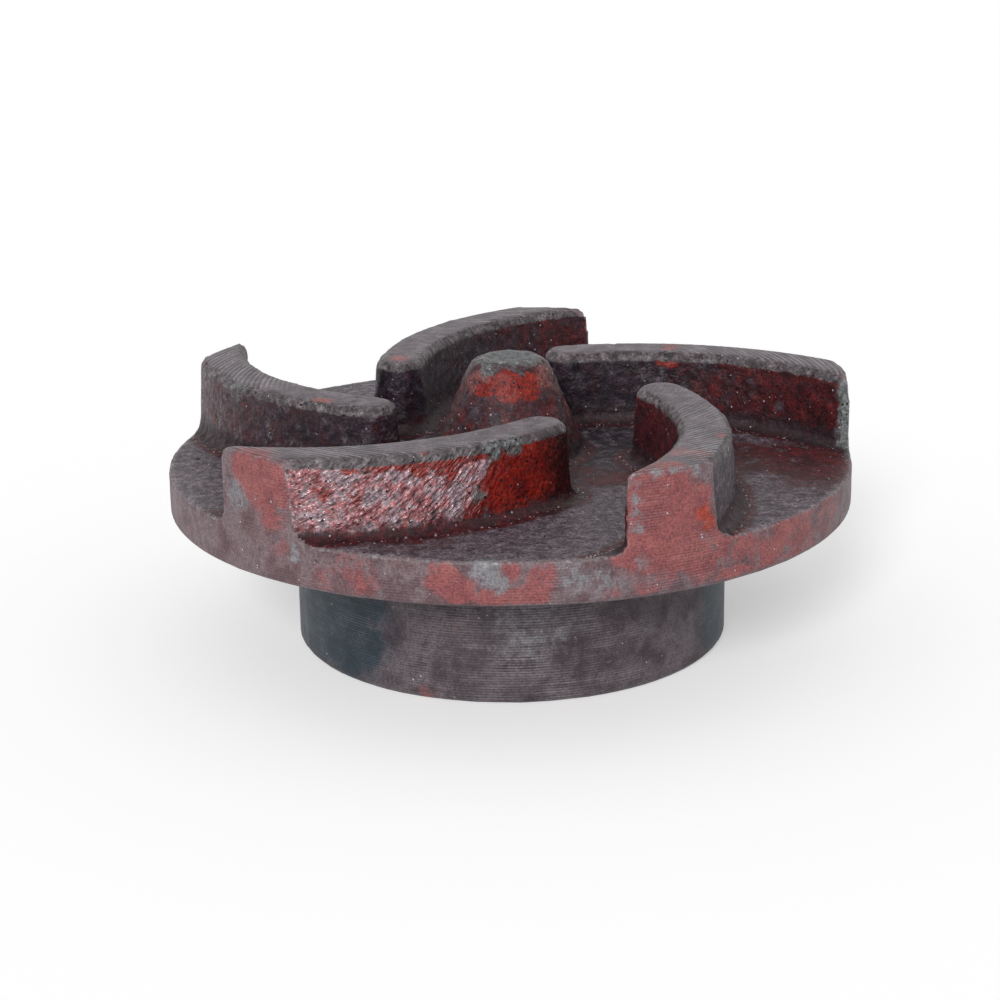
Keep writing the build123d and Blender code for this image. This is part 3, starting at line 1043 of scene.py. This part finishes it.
# turned iron with what is left of its paint
turnedPaint = {
    "coats": {
        "base": {"colours": ("5A464A", "6C5559", "79696D", "624D52"), "drift": 6.0, "rough": 0.55},
        "hub": {"colours": ("3C3238", "51474D", "665D62", "463C42"),
                "drift": 8.0, "fray": 4.0, "soft": 0.2, "rough": 0.55},
        "crown": {"colours": ("4A4247", "5F555B", "736A70"),
                  "drift": 3.0, "fray": 2.0, "soft": 0.3, "rough": 0.5},
        "salmonCoat": {"colours": ("7E4649", "8E5051", "965856"),
                       "drift": 3.0, "fray": 3.2, "soft": 0.3, "rough": 0.5},
        "tealCoat": {"colours": ("202C35", "2F3D47"),
                     "drift": 4.0, "fray": 5.0, "soft": 0.45, "rough": 0.5},
        "greyCoat": {"colours": ("76767A", "8F8E93"),
                     "drift": 2.0, "fray": 1.8, "soft": 0.3, "cover": 0.85, "rough": 0.5},
        "vermilion": {"colours": ("8C3629", "AA4431"),
                      "drift": 1.5, "fray": 1.2, "soft": 0.4, "rough": 0.45},
        "wear": {"colours": ("5F5B5D", "827D7F", "9E999B"),
                 "drift": 1.0, "fray": 1.2, "soft": 0.35, "cover": 0.8, "rough": 0.45},
    },
    "pale": {"spacing": 1.4, "share": 0.35, "size": 0.18, "colour": "BDB7BC"},
    "pits": {"spacing": 1.4, "share": 0.35, "size": 0.2, "colour": "2A2022"},
    "specular": 0.3,
    "pitches": (0.47, 0.92),
    "grooveHeight": 0.03,
    "ridgeHighlight": {"colour": "A29CA0", "from": 0.52, "to": 0.78, "cover": 0.6},
    "grooveShade": {"colour": "211B1E", "from": 0.5, "to": 0.25, "cover": 0.85},
    "markPatch": 8,
    "rimMarks": {"From Min": 0.42, "From Max": 0.64, "To Min": 0.03, "To Max": 0.3},
    "crownMarks": {"From Min": 0.36, "From Max": 0.56, "To Min": 0.25},
    "grit": 0.4,
    "gritDepth": 0.35,
    "grain": 0.4,
    "grainHeight": 0.03,
}


def turnedMaterial():
    # Iron faced and turned in the lathe: dull grey-brown with the tool's rings half a millimetre
    # apart, which catch the light as fine lines, and flakes of salmon and blue-grey paint.
    material = newMaterial("turned iron, worn paint")
    tree = material.node_tree
    coordinates = addNode(tree, "ShaderNodeTexCoord")
    where = coordinates.outputs["Object"]
    marks = turningMarks(tree, coordinates, turnedPaint["pitches"])
    colour, rough = layCoats(tree, where, turnedPaint["coats"])
    # the marks stand out on the crowns and have mostly been rubbed away on the rim
    crown = addNode(tree, "ShaderNodeAttribute", attribute_name="marks").outputs["Fac"]
    patches = {"Vector": where, "Scale": perMm(turnedPaint["markPatch"]), "Detail": 3.0}
    patchy = {"Value": addNode(tree, "ShaderNodeTexNoise", patches).outputs["Fac"]}
    onRim = addNode(tree, "ShaderNodeMapRange", patchy | turnedPaint["rimMarks"]).outputs[0]
    onCrown = addNode(tree, "ShaderNodeMapRange", patchy | turnedPaint["crownMarks"]).outputs[0]
    shown = addNode(tree, "ShaderNodeMix", {0: crown, 2: onRim, 3: onCrown}).outputs[0]
    # the rings are painted: paler on their ridges as painted highlight, darker in their grooves as
    # painted shade
    for tone in (turnedPaint["ridgeHighlight"], turnedPaint["grooveShade"]):
        band = {"From Min": tone["from"], "From Max": tone["to"], "To Max": tone["cover"]}
        share = addNode(tree, "ShaderNodeMapRange", {"Value": marks} | band).outputs[0]
        both = {0: share, 1: shown}
        share = addNode(tree, "ShaderNodeMath", both, operation="MULTIPLY").outputs[0]
        laid = {0: share, 6: colour, 7: linearColour(tone["colour"])}
        colour = addNode(tree, "ShaderNodeMix", laid, data_type="RGBA").outputs[2]
    colour = gritty(tree, where, colour, turnedPaint["grit"], turnedPaint["gritDepth"])
    for speck in ("pits", "pale"):
        colour = scatterSpecks(tree, where, colour, turnedPaint[speck])
    sand = {"Vector": where, "Scale": perMm(turnedPaint["grain"]), "Detail": 3.0}
    grain = addNode(tree, "ShaderNodeTexNoise", sand).outputs["Fac"]
    rise = {"Strength": shown, "Height": marks, "Distance": turnedPaint["grooveHeight"] * mm}
    bump = addNode(tree, "ShaderNodeBump", rise).outputs[0]
    rise = {"Height": grain, "Distance": turnedPaint["grainHeight"] * mm, "Normal": bump}
    bump = addNode(tree, "ShaderNodeBump", rise).outputs[0]
    surface = {"Base Color": colour, "Roughness": rough, "Normal": bump}
    surface["Specular IOR Level"] = turnedPaint["specular"]
    shader = addNode(tree, "ShaderNodeBsdfPrincipled", surface)
    addNode(tree, "ShaderNodeOutputMaterial", {"Surface": shader.outputs[0]})
    return material


# the bored pocket and the thread
boredIron = {
    "colours": ("4A4847", "6B6866", "7D7977"),
    "drift": 5.0,
    "stain": ("3B2A22", "5A3C2C"),
    "stainDrift": 2.0,
    "stainSize": 6.0,
    "stainEdge": {"From Min": 0.5, "From Max": 0.62},
    "rough": {"To Min": 0.35, "To Max": 0.6},
    "metallic": 0.7,
    "pitches": (0.35, 0.35),
    "grooveHeight": 0.02,
}


def boredMaterial():
    # Iron bored out and threaded, with a film of old oil: dark bare metal with fine rings that
    # glint, and dull brown stains.
    material = newMaterial("bored iron, oily")
    tree = material.node_tree
    coordinates = addNode(tree, "ShaderNodeTexCoord")
    where = coordinates.outputs["Object"]
    marks = turningMarks(tree, coordinates, boredIron["pitches"])
    colour = mottled(tree, where, boredIron["drift"], boredIron["colours"])
    patches = {"Vector": where, "Scale": perMm(boredIron["stainSize"]), "Detail": 6.0}
    stain = {"Value": addNode(tree, "ShaderNodeTexNoise", patches).outputs["Fac"]}
    share = addNode(tree, "ShaderNodeMapRange", stain | boredIron["stainEdge"]).outputs[0]
    brown = mottled(tree, where, boredIron["stainDrift"], boredIron["stain"])
    laid = {0: share, 6: colour, 7: brown}
    colour = addNode(tree, "ShaderNodeMix", laid, data_type="RGBA").outputs[2]
    rough = addNode(tree, "ShaderNodeMapRange", {"Value": share} | boredIron["rough"]).outputs[0]
    rise = {"Height": marks, "Distance": boredIron["grooveHeight"] * mm}
    bump = addNode(tree, "ShaderNodeBump", rise).outputs[0]
    surface = {"Base Color": colour, "Roughness": rough, "Normal": bump}
    surface["Metallic"] = boredIron["metallic"]
    shader = addNode(tree, "ShaderNodeBsdfPrincipled", surface)
    addNode(tree, "ShaderNodeOutputMaterial", {"Surface": shader.outputs[0]})
    return material


makeCamera()
makeStudio()
print("studio ready")
piece = makeCastingMesh()
print("skin made:", len(piece.data.vertices), "points")
piece.data.materials.clear()
for material in (
    castMaterial("sand-cast iron, brushed red oxide", dustyPaint),
    turnedMaterial(),
    boredMaterial(),
    castMaterial("sand-cast iron, thick gloss oxide paint", thickPaint),
):
    piece.data.materials.append(material)
dressCasting(piece)
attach(piece, "root")
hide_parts("impeller")
print("casting dressed")
